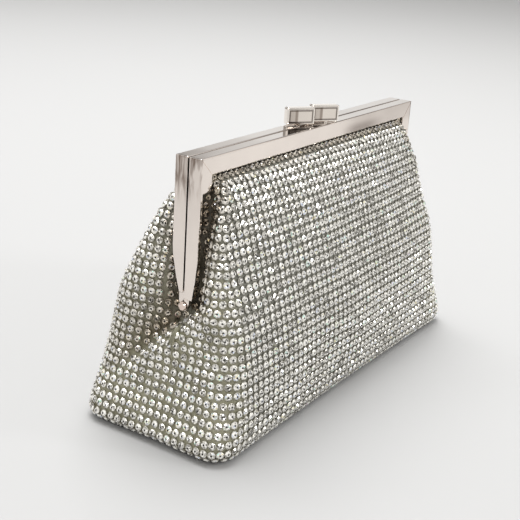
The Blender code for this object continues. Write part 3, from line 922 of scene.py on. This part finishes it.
def base_sheet(name, material, inset, z):
    """A flat sheet of the foot's outline, thickened upwards; its flat size and area."""
    ring = base_outline(inset)
    count = len(ring)
    points = np.vstack([np.column_stack([ring, np.full(count, height)])
                        for height in (z, z + BASE_THICKNESS)])
    under, over = range(count), range(count, 2 * count)
    rim = [(k, (k + 1) % count, (k + 1) % count + count, k + count) for k in under]
    faces = [tuple(reversed(under)), tuple(over), *rim]
    obj = mesh_object(name, to_world(points), faces, material)
    wide, deep = np.ptp(ring, axis=0) * MM
    (x, y), (next_x, next_y) = ring.T, np.roll(ring, -1, axis=0).T
    area = abs((x * next_y - next_x * y).sum()) / 2 * MM * MM
    return obj, (float(wide), float(deep)), float(area)


def base_places():
    """Places of the stones under the bag: straight rows from mid-length, inside the outline."""
    ring = base_outline(BASE_STONE_INSET)
    down, row = np.array((0.0, 0.0, -1.0)), np.array((1.0, 0.0, 0.0))
    return [
        (np.array((sign * x, y, BASE_STONE_Z)), down, row)
        for y in np.arange(ring[:, 1].min(), ring[:, 1].max(), STONE_PITCH)
        for x in np.arange(STONE_PITCH / 2, ring[:, 0].max(), STONE_PITCH)
        for sign in (-1, 1)
        if inside(sign * x, y, ring)
    ]


base, cut, area = base_sheet("base_backing", BACKING, inset=1.6, z=0.9)
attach(base, "bag_body")
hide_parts("base_mesh")
base_stones = stones_object("base_stones", base_places(), BASE_SEED, BASE_STONE_TALLNESS)
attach(base_stones, "bag_body")

bottom, cut, area = base_sheet("base_lining", SATIN, inset=4.4, z=4.25)
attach(bottom, "bag_body")
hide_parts("lower_lining")

# ---------------------------------------------------------------- stage

CAMERA_AZIMUTH = -57.321
CAMERA_ELEVATION = 19.685
CAMERA_ROLL = 3.815
CAMERA_DISTANCE = 0.456698
CAMERA_TARGET = Vector((-0.029741, 0.003287 + hinge[1], 0.060))
CAMERA_LENS = 70.59

FLOOR_SIZE = 12.0
FLOOR_Z = -0.0003
FLOOR_TONES = (0.400, 0.400, 0.400), (0.412, 0.412, 0.410)
WORLD_STRENGTH = 1.02
WORLD_BANDS = [
    (0.40, (0.08, 0.075, 0.07)),
    (0.48, (0.62, 0.60, 0.58)),
    (0.56, (1.0, 0.995, 0.98)),
]
# name, place, aim, length of a side, watts
LIGHTS = [
    ("overhead", (0.38, 0.48, 1.65), (0.18, 0.22, 0), 1.35, 47.5),
    ("glint_left", (-0.9, -0.7, 0.8), (0, 0, 0.05), 0.16, 2.2),
    ("glint_right", (0.5, -1.1, 0.7), (0, 0, 0.05), 0.2, 3.6),
]


def make_camera():
    azimuth, elevation, roll = map(math.radians, (CAMERA_AZIMUTH, CAMERA_ELEVATION, CAMERA_ROLL))
    back = Vector((math.sin(azimuth) * math.cos(elevation),
                   -math.cos(azimuth) * math.cos(elevation), math.sin(elevation)))
    right = Vector((math.cos(azimuth), math.sin(azimuth), 0))
    up = right.cross(-back)
    tilted_right = math.cos(roll) * right + math.sin(roll) * up
    tilted_up = -math.sin(roll) * right + math.cos(roll) * up
    data = bpy.data.cameras.new("camera")
    data.lens = CAMERA_LENS
    data.sensor_width = 36.0
    data.clip_start = 0.01
    data.clip_end = 50.0
    camera = bpy.data.objects.new("camera", data)
    bpy.context.scene.collection.objects.link(camera)
    turn = Matrix((tilted_right, tilted_up, back)).transposed().to_4x4()
    camera.matrix_world = Matrix.Translation(CAMERA_TARGET + back * CAMERA_DISTANCE) @ turn
    bpy.context.scene.camera = camera


def make_floor():
    bpy.ops.mesh.primitive_grid_add(x_subdivisions=40, y_subdivisions=40, size=FLOOR_SIZE,
                                    location=(0, 0, FLOOR_Z))
    floor = bpy.context.active_object
    floor.name = "floor"
    material, tree, shader = new_material("pale_floor")
    tree.links.new(mottled(tree, None, 6.0, 3.0, FLOOR_TONES), shader.inputs["Base Color"])
    shader.inputs["Roughness"].default_value = 0.6
    shader.inputs["Specular IOR Level"].default_value = 0.2
    floor.data.materials.append(material)


def make_world():
    """A pale studio with darker bands, which is what polished metal and crystal need to show."""
    world = bpy.data.worlds.new("studio")
    world.use_nodes = True
    tree = world.node_tree
    background = tree.nodes["Background"]
    vector = tree.nodes.new("ShaderNodeTexCoord").outputs["Generated"]
    bands = ramp(tree, noise(tree, vector, 2.4, 1.0), WORLD_BANDS)
    tree.links.new(bands, background.inputs["Color"])
    background.inputs["Strength"].default_value = WORLD_STRENGTH
    bpy.context.scene.world = world


def make_light(name, place, aim, size, power):
    data = bpy.data.lights.new(name, "AREA")
    data.size = size
    data.energy = power
    light = bpy.data.objects.new(name, data)
    light.location = place
    light.rotation_euler = (Vector(aim) - Vector(place)).to_track_quat("-Z", "Y").to_euler()
    bpy.context.scene.collection.objects.link(light)


make_camera()
make_floor()
make_world()
for light in LIGHTS:
    make_light(*light)
bpy.context.scene.view_settings.view_transform = "Standard"
